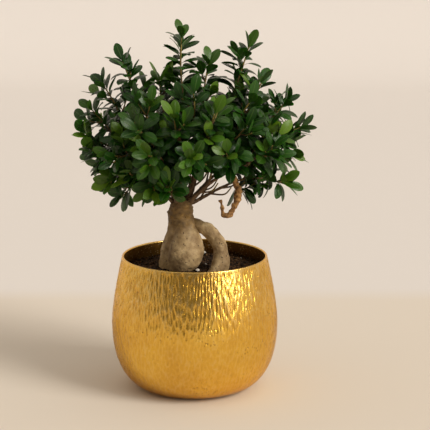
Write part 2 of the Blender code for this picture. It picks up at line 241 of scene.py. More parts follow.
def noiseOf(tree, vector, scale, detail=3.0, rough=0.55):
    # cloudy noise from 0 to 1, with features of about 1 / scale metres
    return addNode(tree, "TexNoise", {"Vector": vector, "Scale": scale, "Detail": detail,
                                      "Roughness": rough}).outputs["Fac"]


def cellsOf(tree, vector, scale):
    # distance to the nearest of scattered points, about 1 / scale metres apart
    return addNode(tree, "TexVoronoi", {"Vector": vector, "Scale": scale}).outputs["Distance"]


def stretched(tree, vector, scale):
    # coordinates multiplied by a scale for each axis; below 1 draws a pattern out along it
    return addNode(tree, "Mapping", {"Vector": vector, "Scale": scale}).outputs["Vector"]


def ramp(tree, factor, stops):
    # colour ramp with (place, grey or colour) stops
    made = addNode(tree, "ValToRGB", {"Fac": factor})
    while len(made.color_ramp.elements) < len(stops):
        made.color_ramp.elements.new(0.5)
    for element, (place, colour) in zip(made.color_ramp.elements, stops):
        element.position = place
        element.color = (colour, colour, colour, 1) if isinstance(colour, (int, float)) else (*colour, 1)
    return made.outputs["Color"]


def blendColour(tree, factor, first, second):
    # first x (1 - factor) + second x factor
    made = addNode(tree, "Mix", data_type="RGBA")
    for socket, value in ((made.inputs[0], factor), (made.inputs[6], first), (made.inputs[7], second)):
        if isinstance(value, bpy.types.NodeSocket):
            tree.links.new(value, socket)
        else:
            socket.default_value = value if isinstance(value, float) else (*value, 1)
    return made.outputs[2]


def mathOf(tree, operation, first, second=0.0):
    # one sum on two numbers
    return addNode(tree, "Math", {0: first, 1: second}, operation=operation).outputs[0]


def times(tree, first, second):
    # first x second
    return mathOf(tree, "MULTIPLY", first, second)


def plus(tree, first, second):
    # first + second
    return mathOf(tree, "ADD", first, second)


def minus(tree, first, second):
    # first - second
    return mathOf(tree, "SUBTRACT", first, second)


def bumpOf(tree, height, distance, strength=1.0, below=None):
    # surface direction tilted by a height pattern, on top of the bump below it
    wires = {"Height": height, "Distance": distance, "Strength": strength}
    if below:
        wires["Normal"] = below
    return addNode(tree, "Bump", wires).outputs["Normal"]


potShape = {
    "height": 0.199, "rimRadius": 0.107, "bellyRadius": 0.1228, "bellyHeight": 0.102,
    "baseRadius": 0.060, "wall": 0.0035, "lowerRoundness": 2.35, "upperTaper": 1.4,
    "around": 1080, "rowSpacing": 0.0034, "insideSpacing": 0.020,
    "strokeWidth": 0.0044, "strokeLengthTop": 0.0250, "strokeLengthBase": 0.0060,
    "strokeDepth": 0.00110, "strokeSway": 0.0015, "crestWidth": 0.55, "crestPower": 0.75, "rippleShare": 0.14,
    "dimpleWidth": 0.0070, "dimpleSquash": 0.80, "dimplesBelow": 0.085, "strokesAbove": 0.130,
    "baseStrokes": 0.55,                             # share of the upright strokes that stays near the base
    "wander": 0.018, "insideWork": 0.6, "plainTone": 0.8, "seed": 11,
    "baseEdge": (0.0006, 0.012), "rimEdge": (0.0012, 0.006),   # where the hammering fades out
}


def upperRadius(climb):
    # outer radius above the belly: the belly's, less a power of the climb to the rim
    shape = potShape
    return between(shape["bellyRadius"], shape["rimRadius"], climb ** shape["upperTaper"])


def potWallPoint(part):
    # part 0..1 climbs from the base edge to the belly on a squarish quarter oval,
    # and 1..2 climbs from the belly to the rim along a power curve
    shape = potShape
    angle = np.clip(part, 0, 1) * math.pi / 2
    power = 2 / shape["lowerRoundness"]
    lowRadius = between(shape["baseRadius"], shape["bellyRadius"], np.sin(angle) ** power)
    lowHeight = shape["bellyHeight"] * (1 - np.maximum(np.cos(angle), 0) ** power)
    climb = np.clip(part - 1, 0, 1)
    highRadius = upperRadius(climb)
    highHeight = between(shape["bellyHeight"], shape["height"] - shape["wall"] / 2, climb)
    low, high = np.stack([lowRadius, lowHeight], axis=-1), np.stack([highRadius, highHeight], axis=-1)
    return np.where(part[:, None] < 1, low, high)


def evenly(line, spacing):
    # the same line read at equal steps of its length
    length = lengthAlong(line)
    places = np.linspace(0, length[-1], max(int(length[-1] / spacing), 2) + 1)
    return np.stack([np.interp(places, length, line[:, k]) for k in range(2)], axis=-1)


def potProfile():
    # closed outline in radius and height: outer wall, half-round rim, inner wall; with its outward sides
    outer = evenly(potWallPoint(np.linspace(0, 2, 900)), potShape["rowSpacing"])
    run = unit(np.gradient(outer, axis=0))
    inner = outer - np.stack([run[:, 1], -run[:, 0]], axis=-1) * potShape["wall"]
    inner[:, 1] = np.maximum(inner[:, 1], potShape["wall"])
    inner = evenly(inner[::-1], potShape["insideSpacing"])
    middle = (outer[-1] + inner[0]) / 2
    half = np.linalg.norm(outer[-1] - inner[0]) / 2
    turn = np.linspace(0, math.pi, 9)[1:-1]
    rim = middle + half * np.stack([np.cos(turn), np.sin(turn)], axis=-1)
    line = np.vstack([outer, rim, inner])
    run = unit(np.gradient(line, axis=0))
    outward = np.stack([run[:, 1], -run[:, 0]], axis=-1)
    insideWork = np.full(len(inner), potShape["insideWork"])
    worked = np.concatenate([np.ones(len(outer)), np.zeros(len(rim)), insideWork])
    return line, outward, worked


def hammerStrokes(points):
    # long upright hollows with thin crests between them: the gap between the two nearest cell points,
    # in a space squeezed so that cells are tall near the rim; towards the base rounder dimples are mixed in
    shape = potShape
    grow = (shape["strokeLengthTop"] - shape["strokeLengthBase"]) / shape["height"]
    tall = np.log1p(grow * np.maximum(points[..., 2], 0) / shape["strokeLengthBase"]) / grow
    sway = softNoise(points, 0.03, 5)[..., None] * shape["strokeSway"]
    squeezed = np.concatenate([(points[..., :2] + sway) / shape["strokeWidth"], tall[..., None]], axis=-1)
    nearest, second = pebbleCells(squeezed, shape["seed"])
    crest = 1 - np.clip((second - nearest) / shape["crestWidth"], 0, 1) ** shape["crestPower"]
    ripple = softNoise(points * np.array([1, 1, 0.35]), 0.0030, 7) * 0.5 + 0.5
    strokes = (1 - shape["rippleShare"]) * crest + shape["rippleShare"] * ripple
    pressed = points * np.array([1, 1, shape["dimpleSquash"]]) / shape["dimpleWidth"]
    nearest, second = pebbleCells(pressed, shape["seed"] + 20)
    dimples = 1 - smoothStep(second - nearest, 0.0, 0.6)
    height = points[..., 2] + shape["wander"] * softNoise(points, 0.035, 9)
    share = smoothStep(height, shape["dimplesBelow"], shape["strokesAbove"])
    return between(dimples, strokes, between(shape["baseStrokes"], 1, share))


def spun(outline, circle):
    # an outline of radii and heights carried round a circle
    across = outline[:, None, :1] * circle[None]
    return np.concatenate([across, np.broadcast_to(outline[:, None, 1:], (*across.shape[:2], 1))], axis=-1)


def buildPot():
    # the outline is spun, then pressed in along its outward sides where the hammer struck
    line, outward, worked = potProfile()
    angle = np.linspace(0, math.tau, potShape["around"], endpoint=False) + math.pi / 2
    circle = np.stack([np.cos(angle), np.sin(angle)], axis=-1)
    flat = spun(line, circle)
    relief = hammerStrokes(flat)
    edge = smoothStep(line[:, 1], *potShape["baseEdge"])
    edge = edge * smoothStep(potShape["height"] - line[:, 1], *potShape["rimEdge"])
    depth = (potShape["strokeDepth"] * worked * edge)[:, None]
    grid = flat + spun(outward, circle) * ((relief - 1) * depth)[..., None]
    rows, columns = grid.shape[:2]
    points, quads, fans = closedTube(grid)
    points[-2] = (0, 0, 0)
    points[-1] = (0, 0, potShape["wall"])
    shown = (worked * edge)[:, None]
    plain = potShape["plainTone"]
    inside = np.broadcast_to((worked == potShape["insideWork"])[:, None], relief.shape)
    numbers = {"hammerRelief": np.append(relief * shown + (1 - shown) * plain, (plain, plain)),
               "insideShare": np.append(inside, (0.0, 1.0))}
    pot = putMesh("hammered_pot", points, [quads, fans], goldMetal(), pointNumbers=numbers)
    settle(pot, "gold_metal", "pot")
    print("pot:", rows * columns, "points")


def goldMetal():
    # gold with painted shade in the hollows of the hammering and painted highlights on its crests, strongest
    # on the upper wall; dark specks outside, and dull metal with bright flecks inside
    material, tree, shader, place = startMaterial("hammered gold")
    relief = attributeOf(tree, "hammerRelief")
    inside = attributeOf(tree, "insideShare")
    cloud = noiseOf(tree, place, 14, 4)
    gold = ramp(tree, cloud, [(0.3, (0.68, 0.360, 0.026)), (0.55, (0.83, 0.475, 0.040)),
                              (0.78, (0.92, 0.575, 0.075))])
    # painted shade: the hollows of the hammering are darkened in the colour
    hollowShade = ramp(tree, relief, [(0.05, 1.0), (0.62, 0.0)])
    body = blendColour(tree, times(tree, hollowShade, 0.30), gold, (0.46, 0.20, 0.022))
    height = addNode(tree, "SeparateXYZ", {0: place}).outputs["Z"]
    # painted highlight: the crests are paled towards cream, most on the upper wall
    highlightByHeight = ramp(tree, height, [(0.105, 0.42), (0.150, 1.0)])
    crestHighlight = times(tree, ramp(tree, relief, [(0.62, 0.06), (1.0, 0.55)]), highlightByHeight)
    body = blendColour(tree, crestHighlight, body, (1.0, 0.80, 0.42))
    speck = cellsOf(tree, stretched(tree, place, (1, 1, 0.7)), 260.0)
    patch = ramp(tree, noiseOf(tree, place, 30, 3), [(0.50, 0.0), (0.62, 1.0)])
    dots = times(tree, ramp(tree, speck, [(0.16, 1.0), (0.30, 0.0)]), patch)
    body = blendColour(tree, times(tree, dots, 0.45), body, (0.16, 0.060, 0.008))
    dull = blendColour(tree, noiseOf(tree, place, 90, 4), (0.26, 0.125, 0.018), (0.66, 0.36, 0.075))
    fleck = cellsOf(tree, place, 240.0)
    dull = blendColour(tree, ramp(tree, fleck, [(0.16, 1.0), (0.30, 0.0)]), dull, (1.0, 0.80, 0.45))
    rough = plus(tree, times(tree, noiseOf(tree, place, 110, 3), 0.14), 0.17)
    grain = noiseOf(tree, stretched(tree, place, (1, 1, 0.3)), 640, 3)
    streak = bumpOf(tree, noiseOf(tree, stretched(tree, place, (1, 1, 0.22)), 330, 2), 0.00055, 0.8)
    pits = bumpOf(tree, minus(tree, 1.0, dots), 0.0003, 0.8, streak)
    plug(tree, shader, {
        "Base Color": blendColour(tree, inside, body, dull),
        "Roughness": plus(tree, rough, times(tree, inside, 0.15)),
        "Normal": bumpOf(tree, grain, 0.00016, 0.8, pits),
        "Metallic": 1.0, "Specular Tint": (0.92, 0.66, 0.30, 1.0),
        "Coat Weight": 0.66, "Coat Roughness": 0.10,
    })
    return material


soilShape = {
    "level": 0.1765, "mound": 0.0042, "lumpHeight": 0.00096, "rings": 90, "around": 220,
    "gapToWall": 0.0008, "depth": 0.012, "crumbs": 900, "crumbSize": (0.0011, 0.0034),
    "lumps": ((1.0, 0.012, 31), (0.8, 0.005, 32), (0.5, 0.0022, 33)),   # share, width and seed
    "crumbMargin": 0.005, "paleGrains": 7, "grainSize": (0.0008, 0.0016), "seed": 21,
}


def potInsideRadius(height):
    # inner radius of the pot at a height on its upper wall
    climb = (height - potShape["bellyHeight"]) / (potShape["height"] - potShape["bellyHeight"])
    return upperRadius(climb) - potShape["wall"]


def soilSurface(x, y):
    # height of the soil: a low mound with lumps of three sizes
    reach = potInsideRadius(soilShape["level"])
    far = np.clip(np.hypot(x, y) / reach, 0, 1)
    flat = np.stack([x, y, np.zeros_like(x)], axis=-1)
    lumps = sum(share * softNoise(flat, wide, seed) for share, wide, seed in soilShape["lumps"])
    mound = soilShape["mound"] * np.cos(math.pi / 2 * far) ** 2
    return soilShape["level"] + mound + soilShape["lumpHeight"] * lumps


def buildSoil():
    # a thick disc: the top is the lumpy mound, the side follows the wall, the underside is flat
    reach = potInsideRadius(soilShape["level"]) - soilShape["gapToWall"]
    part = np.linspace(0.01, 1, soilShape["rings"])[:, None]
    angle = np.linspace(0, math.tau, soilShape["around"], endpoint=False)[None]
    x = reach * part * np.cos(angle)
    y = reach * part * np.sin(angle)
    top = np.stack([x, y, soilSurface(x, y)], axis=-1)
    side = top[-1:].copy()
    side[..., 2] = soilShape["level"] - soilShape["depth"]
    under = side * np.array([0.02, 0.02, 1])
    grid = np.concatenate([top, side, under])[::-1]
    putTube("soil_bed", grid, pottingSoil(), "potting_soil", "soil")


def crumbShells(centres, sizes, draw):
    # icosahedra squeezed, turned and roughened by random numbers
    golden = (1 + 5 ** 0.5) / 2
    corners = unit(np.array([(-1, golden, 0), (1, golden, 0), (-1, -golden, 0), (1, -golden, 0),
                             (0, -1, golden), (0, 1, golden), (0, -1, -golden), (0, 1, -golden),
                             (golden, 0, -1), (golden, 0, 1), (-golden, 0, -1), (-golden, 0, 1)]))
    faces = np.array([(0, 11, 5), (0, 5, 1), (0, 1, 7), (0, 7, 10), (0, 10, 11), (1, 5, 9), (5, 11, 4),
                      (11, 10, 2), (10, 7, 6), (7, 1, 8), (3, 9, 4), (3, 4, 2), (3, 2, 6), (3, 6, 8),
                      (3, 8, 9), (4, 9, 5), (2, 4, 11), (6, 2, 10), (8, 6, 7), (9, 8, 1)])
    count = len(centres)
    squeeze = draw.uniform(0.45, 1.25, (count, 1, 3))
    rough = draw.uniform(0.75, 1.2, (count, 12, 1))
    turns, _ = np.linalg.qr(draw.normal(size=(count, 3, 3)))
    turns = turns * np.sign(np.linalg.det(turns))[:, None, None]
    shells = (corners[None] * squeeze * rough) @ turns * sizes[:, None, None] + centres[:, None]
    return shells.reshape(-1, 3), (faces[None] + 12 * np.arange(count)[:, None, None]).reshape(-1, 3)


def buildCrumbs():
    # bark and peat crumbs strewn on the soil, and a few pale grains among them
    draw = np.random.default_rng(soilShape["seed"])
    reach = potInsideRadius(soilShape["level"]) - soilShape["crumbMargin"]
    for name, count, (small, large), material, slotName in (
            ("soil_crumbs", soilShape["crumbs"], soilShape["crumbSize"], barkCrumb(), "potting_soil"),
            ("pale_grains", soilShape["paleGrains"], soilShape["grainSize"], paleGrain(), "perlite_white")):
        far = reach * np.sqrt(draw.uniform(0, 1, count))
        angle = draw.uniform(0, math.tau, count)
        x = far * np.cos(angle)
        y = far * np.sin(angle)
        sizes = draw.uniform(small, large, count) * draw.uniform(0.6, 1, count)
        centres = np.stack([x, y, soilSurface(x, y) + sizes * 0.2], axis=-1)
        points, faces = crumbShells(centres, sizes, draw)
        tones = np.repeat(draw.uniform(0, 1, count), 20)
        settle(putMesh(name, points, [faces], material, faceNumbers={"crumbTone": tones}), slotName)
    print("crumbs:", soilShape["crumbs"])


def buildPerlite():
    # rounded lumps in the boxes of the two CAD grains: a sphere pushed in and out by noise
    for node in ("perlite_front", "perlite_back"):
        low, high = (np.array(corner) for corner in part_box(node))
        polar = np.linspace(0.12, math.pi - 0.12, 22)[:, None]
        angle = np.linspace(0, math.tau, 30, endpoint=False)[None]
        sides = np.sin(polar) * np.cos(angle), np.sin(polar) * np.sin(angle), -np.cos(polar)
        ball = np.stack(np.broadcast_arrays(*sides), axis=-1)
        lump = ball * (0.92 + 0.10 * softNoise(ball, 0.55, 41) + 0.05 * softNoise(ball, 0.22, 42))[..., None]
        grid = (low + high) / 2 + lump * (high - low) / 2
        putTube(node + "_grain", grid, paleGrain(), "perlite_white", node)


def pottingSoil():
    # near-black peat with brown patches and a coarse bump
    material, tree, shader, place = startMaterial("potting soil")
    mix = noiseOf(tree, place, 210, 5, 0.65)
    plug(tree, shader, {
        "Base Color": ramp(tree, mix, [(0.32, (0.006, 0.003, 0.0015)), (0.50, (0.026, 0.012, 0.004)),
                                       (0.64, (0.085, 0.038, 0.012)), (0.80, (0.17, 0.095, 0.04))]),
        "Normal": bumpOf(tree, noiseOf(tree, place, 420, 4), 0.0009),
        "Roughness": 0.93, "Specular IOR Level": 0.15,
    })
    return material


def barkCrumb():
    # each crumb takes its own tone from black to brown
    material, tree, shader, place = startMaterial("bark crumb")
    tone = attributeOf(tree, "crumbTone")
    body = ramp(tree, tone, [(0.0, (0.008, 0.004, 0.002)), (0.5, (0.034, 0.016, 0.006)),
                             (0.8, (0.11, 0.050, 0.018)), (1.0, (0.20, 0.11, 0.045))])
    plug(tree, shader, {
        "Base Color": blendColour(tree, noiseOf(tree, place, 600, 3), body, (0.012, 0.006, 0.003)),
        "Normal": bumpOf(tree, noiseOf(tree, place, 900, 3), 0.0004),
        "Roughness": 0.85, "Specular IOR Level": 0.2,
    })
    return material


def paleGrain():
    # chalky white with dirt in its hollows
    material, tree, shader, place = startMaterial("pale grain")
    dirt = noiseOf(tree, place, 700, 4)
    plug(tree, shader, {
        "Base Color": ramp(tree, dirt, [(0.3, (0.42, 0.36, 0.28)), (0.6, (0.80, 0.76, 0.68))]),
        "Normal": bumpOf(tree, noiseOf(tree, place, 1500, 3), 0.0003),
        "Roughness": 0.85,
    })
    return material


trunkShape = {
    # height, then X, Y and radius of the rear lobe, then of the front lobe
    "sections": [
        (0.1600, -0.027, 0.006, 0.0210, -0.020, -0.008, 0.014),
        (0.1770, -0.028, 0.006, 0.0240, -0.019, -0.012, 0.0180),
        (0.1900, -0.028, 0.006, 0.0238, -0.015, -0.013, 0.0240),
        (0.2030, -0.028, 0.006, 0.0222, -0.0125, -0.013, 0.0258),
        (0.2160, -0.027, 0.005, 0.0197, -0.0115, -0.011, 0.0246),
        (0.2300, -0.024, 0.004, 0.0182, -0.0115, -0.008, 0.0198),
        (0.2450, -0.0205, 0.002, 0.0180, -0.0150, -0.004, 0.0165),
        (0.2630, -0.0213, 0.001, 0.0180, -0.0190, -0.001, 0.0150),
        (0.2760, -0.0190, 0.001, 0.0158, -0.0175, 0.000, 0.0140),
        (0.2810, -0.0180, 0.001, 0.0125, -0.0175, 0.000, 0.0110),
    ],
    "rows": 190, "around": 220, "lobeBlend": 0.0009, "neckStart": 0.222, "neckEnd": 0.262,
    # height, width and seed of each swelling of the bark, and of the neck's own wrinkles and lumps
    "swellings": ((0.00105, 0.013, 51), (0.00060, 0.0048, 52), (0.00030, 0.0021, 54)),
    "wrinkles": (0.0012, 0.0055, 53), "neckLumps": (0.0010, 0.006, 55),
}


def barkRelief(points, neck):
    # soft swellings of three sizes, and cross wrinkles and lumps that grow towards the neck
    swellings = sum(tall * softNoise(points, wide, seed) for tall, wide, seed in trunkShape["swellings"])
    tall, wide, seed = trunkShape["wrinkles"]
    wrinkles = tall * softNoise(points * np.array([0.5, 0.5, 2.2]), wide, seed)
    tall, wide, seed = trunkShape["neckLumps"]
    return swellings + neck * (wrinkles + tall * softNoise(points, wide, seed))


def buildTrunk():
    # each section is the soft outline of two circles; the sections' numbers are smoothed over the height
    table = smoothRoute(trunkShape["sections"], trunkShape["rows"])
    angle = np.linspace(0, math.tau, trunkShape["around"], endpoint=False)
    direction = np.stack([np.cos(angle), np.sin(angle)], axis=-1)
    rear, front = table[:, 1:3], table[:, 4:6]
    middle = (rear + front) / 2

    def reach(offset, radius):
        along = offset @ direction.T
        inside = radius[:, None] ** 2 - (offset ** 2).sum(axis=1)[:, None] + along ** 2
        return along + np.sqrt(np.maximum(inside, 1e-10))

    soft = trunkShape["lobeBlend"]
    rearReach, frontReach = reach(rear - middle, table[:, 3]), reach(front - middle, table[:, 6])
    outline = soft * np.logaddexp(rearReach / soft, frontReach / soft)
    height = np.broadcast_to(table[:, :1], outline.shape)
    sideways = np.append(direction, np.zeros((len(direction), 1)), axis=1)[None]
    flat = np.append(np.broadcast_to(middle[:, None], (*outline.shape, 2)), height[..., None], axis=-1)
    flat = flat + sideways * outline[..., None]
    neck = smoothStep(height, trunkShape["neckStart"], trunkShape["neckEnd"])
    grid = flat + sideways * barkRelief(flat, neck)[..., None]
    putTube("trunk_bark", grid, bark("trunk bark", 1.0), "trunk_bark", "trunk",
            neckShare=np.append(neck, (0.0, 1.0)))


loopShape = {
    "centre": (0.001, 0.002, 0.198), "radius": 0.038, "startAngle": 106.0, "endAngle": -80.0,
    "forward": 0.045, "lift": 0.010, "thin": 0.0096, "thick": 0.0130,
    "bulge": (0.0006, 0.02, 57),                     # height, width and seed of its long swellings
    "neckFade": (0.016, -0.002),                     # where along X it turns as brown as the neck
    "points": 9, "rows": 170, "around": 80,
}


def loopRoute():
    # arc in an upright plane, lifted at the neck, that comes forward more and more towards its end
    part = np.linspace(0, 1, loopShape["points"])
    angle = np.radians(between(loopShape["startAngle"], loopShape["endAngle"], part))
    turn = np.stack([np.cos(angle), 0 * part, np.sin(angle)], axis=-1) * loopShape["radius"]
    turn[:, 1] -= loopShape["forward"] * part ** 1.5
    turn[:, 2] += loopShape["lift"] * (1 - part) ** 3
    radii = between(loopShape["thin"], loopShape["thick"], np.sin(math.pi * part ** 2.4))
    return turn + np.array(loopShape["centre"]), radii


def spreadRadii(radii, count):
    # the listed radii smoothed over the given number of rows
    return smoothRoute([(radius, 0, 0) for radius in radii], count)[:, 0]


def buildLoopRoot():
    # thick round root along its route, with swellings and fine bark grain
    spots, radii = loopRoute()
    route = smoothRoute(spots, loopShape["rows"])
    grid, ring = tubeGrid(route, spreadRadii(radii, loopShape["rows"]), loopShape["around"])
    tall, wide, seed = loopShape["bulge"]
    grid = grid + ring * (barkRelief(grid, 0.0) + tall * softNoise(grid, wide, seed))[..., None]
    neck = np.repeat(smoothStep(route[:, 0], *loopShape["neckFade"]), loopShape["around"])
    putTube("loop_root_bark", grid, bark("root bark", 0.8), "trunk_bark", "root_loop",
            neckShare=np.append(neck, (0.0, 0.0)))


hangingShape = {
    "branch": "branch_right_front", "place": 5, "gap": 0.0075, "drop": 0.051, "bulge": 0.009,
    "hookRadius": 0.0068, "hookRise": 0.016, "hookLean": 0.003, "dropPoints": 5, "hookPoints": 5,
    "thick": 0.0044, "thin": 0.0024, "knobPlace": 0.24, "knobLength": 0.045, "knobSwell": 0.0014,
    "lumps": ((0.0028, 0.0060, 61), (0.0014, 0.0030, 62)),   # height, width and seed
    "rows": 130, "around": 36,
}


def hangingRoute():
    # bulging drop below a branch, a half circle to the left, and a short rise that leans left
    shape = hangingShape
    top = branchRoute(shape["branch"])[shape["place"]] - shape["gap"] * up
    part = np.arange(shape["dropPoints"]) / shape["dropPoints"]
    fall = np.stack([shape["bulge"] * np.sin(math.pi * part), 0 * part, -shape["drop"] * part], axis=-1)
    angle = -np.linspace(0, math.pi, shape["hookPoints"])
    hook = np.stack([np.cos(angle) - 1, 0 * angle, np.sin(angle)], axis=-1) * shape["hookRadius"]
    hook = hook - shape["drop"] * up
    share = np.array([0.5, 1.0])
    rise = np.stack([-shape["hookLean"] * share ** 2, 0 * share, shape["hookRise"] * share], axis=-1)
    return top + np.vstack([fall, hook, hook[-1] + rise])


def buildHangingRoot():
    # dry root: the tapering tube swells at a knob and is pinched by coarse and fine noise
    shape = hangingShape
    route = smoothRoute(hangingRoute(), shape["rows"])
    part = np.linspace(0, 1, shape["rows"])
    radii = between(shape["thick"], shape["thin"], smoothStep(part, 0.25, 1.0))
    radii = radii + shape["knobSwell"] * np.exp(-((part - shape["knobPlace"]) / shape["knobLength"]) ** 2)
    grid, ring = tubeGrid(route, radii, shape["around"])
    lumps = sum(tall * softNoise(grid, wide, seed) for tall, wide, seed in shape["lumps"])
    grid = grid + ring * (lumps * (1 - 0.5 * part[:, None]))[..., None]
    putTube("hanging_root_bark", grid, dryRoot(), "dry_root", "root_hanging")


def bark(name, warmth):
    # tan skin that turns brown towards the neck, with stains, mottling and dark pores in patches
    material, tree, shader, place = startMaterial(name)
    neck = attributeOf(tree, "neckShare")
    cloud = noiseOf(tree, place, 75, 5, 0.62)
    skin = ramp(tree, cloud, [(0.28, (0.17, 0.105, 0.042)), (0.44, (0.37, 0.250, 0.115)),
                              (0.60, (0.60, 0.430, 0.215)), (0.78, (0.82, 0.640, 0.37))])
    cloudlets = noiseOf(tree, place, 110, 5, 0.6)
    brown = ramp(tree, cloudlets, [(0.3, (0.050, 0.024, 0.003)), (0.55, (0.18, 0.094, 0.013)),
                                   (0.75, (0.38, 0.22, 0.050))])
    body = blendColour(tree, times(tree, neck, 0.95 * warmth), skin, brown)
    stain = ramp(tree, noiseOf(tree, place, 28, 3), [(0.40, 0.0), (0.66, 0.48)])
    body = blendColour(tree, stain, body, (0.17, 0.100, 0.042))
    mottle = ramp(tree, noiseOf(tree, place, 300, 3, 0.6), [(0.46, 0.0), (0.66, 0.40)])
    body = blendColour(tree, mottle, body, (0.115, 0.062, 0.024))
    pore = cellsOf(tree, place, 215.0)
    patch = ramp(tree, noiseOf(tree, place, 60, 2), [(0.48, 0.0), (0.6, 1.0)])
    dots = times(tree, ramp(tree, pore, [(0.17, 1.0), (0.27, 0.0)]), patch)
    coarse = bumpOf(tree, noiseOf(tree, place, 260, 4, 0.65), 0.0011, 0.7)
    fine = bumpOf(tree, noiseOf(tree, place, 800, 3), 0.0004, 0.6, coarse)
    plug(tree, shader, {
        "Base Color": blendColour(tree, times(tree, dots, 0.9), body, (0.045, 0.022, 0.010)),
        "Roughness": ramp(tree, cloud, [(0.3, 0.85), (0.8, 0.55)]),
        "Normal": bumpOf(tree, minus(tree, 1.0, dots), 0.0006, 0.8, fine),
    })
    return material


def dryRoot():
    # mottled dark to light brown, with a coarse grain
    material, tree, shader, place = startMaterial("dry root")
    cloud = noiseOf(tree, place, 190, 4, 0.6)
    plug(tree, shader, {
        "Base Color": ramp(tree, cloud, [(0.3, (0.07, 0.028, 0.006)), (0.5, (0.26, 0.125, 0.034)),
                                         (0.72, (0.52, 0.29, 0.100))]),
        "Normal": bumpOf(tree, noiseOf(tree, place, 700, 4, 0.65), 0.0009),
        "Roughness": 0.78,
    })
    return material


branchShape = {
    "centre": (-0.018, 0.001), "start": 0.006, "foot": 0.274, "cut": 0.8, "points": 7,
    "rowsPerPoint": 14, "around": 20, "knotEvery": 0.011, "knotSwell": 0.16,
    "flare": 0.85, "flareLength": 0.014, "roughness": 0.00028, "roughSize": 0.004,
    "curves": {
        # bearing in degrees, distance out, height of the end, how late it climbs, radius at trunk and end
        "branch_right_low": (2, 0.090, 0.311, 0.75, 0.0024, 0.0014),
        "branch_right_back": (28, 0.088, 0.330, 0.65, 0.0026, 0.0015),
        "branch_right_front": (-26, 0.095, 0.335, 0.60, 0.0030, 0.0017),
        "branch_right_up": (5, 0.045, 0.375, 0.70, 0.0034, 0.0022),
        "branch_centre": (100, 0.012, 0.390, 0.70, 0.0036, 0.0024),
        "branch_left_up": (170, 0.052, 0.365, 0.70, 0.0034, 0.0020),
        "branch_left_front": (236, 0.048, 0.325, 0.70, 0.0032, 0.0018),
        "branch_left_low": (192, 0.064, 0.316, 0.70, 0.0026, 0.0016),
        "branch_back_left": (126, 0.055, 0.330, 0.70, 0.0030, 0.0018),
        "branch_back_right": (62, 0.055, 0.330, 0.70, 0.0030, 0.0018),
    },
}


def branchRoute(node):
    # steady steps outward, and a height that follows part of the S-curve 3v^2 - 2v^3
    shape = branchShape
    bearing, distance, top, lateness, _thick, _thin = shape["curves"][node]
    part = np.linspace(0, 1, shape["points"])
    out = between(shape["start"], distance, part)
    climb = smoothStep((shape["cut"] * part) ** lateness, 0, 1) / smoothStep(shape["cut"] ** lateness, 0, 1)
    angle = math.radians(bearing)
    return np.stack([shape["centre"][0] + out * math.cos(angle), shape["centre"][1] + out * math.sin(angle),
                     between(shape["foot"], top, climb)], axis=-1)


def buildBranches():
    # tapering tube with a flare at the trunk, a small swelling at each leaf scar, and rough bark
    shape = branchShape
    material = twigBark()
    for number, (node, curve) in enumerate(shape["curves"].items()):
        thick, thin = curve[-2:]
        line = smoothRoute(branchRoute(node), shape["rowsPerPoint"] * shape["points"])
        length = lengthAlong(line)
        knots = 1 + shape["knotSwell"] * np.cos(math.pi * length / shape["knotEvery"]) ** 16
        flare = 1 + shape["flare"] * np.exp(-length / shape["flareLength"])
        radii = (thick + (thin - thick) * length / length[-1]) * knots * flare
        grid, ring = tubeGrid(line, radii, shape["around"])
        rough = shape["roughness"] * softNoise(grid, shape["roughSize"], 70 + number)
        age = np.repeat(1 - 0.75 * length / length[-1], shape["around"])
        putTube(node + "_bark", grid + ring * rough[..., None], material, "twig_bark", node,
                stemAge=np.append(age, (1.0, 0.25)))


def twigBark():
    # green-yellow on young stems, brown on old ones
    material, tree, shader, place = startMaterial("twig bark")
    age = attributeOf(tree, "stemAge")
    fibres = noiseOf(tree, place, 260, 4, 0.6)
    old = ramp(tree, fibres, [(0.3, (0.040, 0.020, 0.008)), (0.55, (0.13, 0.070, 0.028)),
                              (0.8, (0.24, 0.145, 0.065))])
    cloud = noiseOf(tree, place, 160, 3)
    young = ramp(tree, cloud, [(0.3, (0.15, 0.105, 0.022)), (0.7, (0.34, 0.25, 0.060))])
    plug(tree, shader, {
        "Base Color": blendColour(tree, ramp(tree, age, [(0.05, 0.0), (0.45, 1.0)]), young, old),
        "Normal": bumpOf(tree, noiseOf(tree, place, 900, 3), 0.0004, 0.8),
        "Roughness": 0.62,
    })
    return material


shootShape = {
    "internode": 0.0034, "internodeSpread": 0.001, "bareFoot": 0.004,
    "stemThick": 0.0019, "stemThin": 0.0009, "stemAround": 8, "stemWaver": 0.0016,
    "leafLength": 0.0310, "leafWidth": 0.0074,       # width is half of the blade's
    "tipReach": 0.62,                                # share of a leaf that stands past the stem's end
    "tipAngle": 16.0, "sideAngle": 54.0,             # degrees from the stem, at its tip and lower down
    "openingLength": 0.026,                          # how far below the tip the leaves are fully open
    "goldenTurn": 137.5, "turnSpread": 0.3, "angleSpread": 8, "faceSpread": 0.17,
    "sizes": (0.85, 1.10), "widths": (0.88, 1.12), "bends": (0.50, 1.55), "folds": (0.10, 0.38),
    "youngLength": 0.013, "leafRise": 0.08, "seed": 81,
    "crownHeart": (-0.018, 0.0, 0.345), "crownRadius": 0.12,
    "lightSide": (0.34, -0.50, 0.0),                 # where the front leaves turn their faces
    "sprigPlaces": (0.45, 0.72), "sprigLength": 0.024, "sprigAngle": 52.0,
    "sprigThick": 0.0012, "sprigRise": 0.004,
    "twigPlaces": (0.25, 0.42, 0.58, 0.74), "twigAngle": 32, "twigLength": 0.050, "twigThick": 0.0015,
}
leafRows = np.array([0, 0.10, 0.24, 0.40, 0.56, 0.72, 0.86, 0.95, 1.0])
leafColumns = np.array([-1, -0.5, 0, 0.5, 1.0])
leafThickness = 0.00045


def leafHalfWidth(part):
    # slim wedge from the stalk, widest past the middle, pointed end: p (1-p)^0.72, scaled to 1
    p = np.clip((part - 0.05) / 0.95, 0, 1)
    return np.maximum(p * (1 - p) ** 0.72 * 3.21, 0.075 * (1 - part) + 0.01)


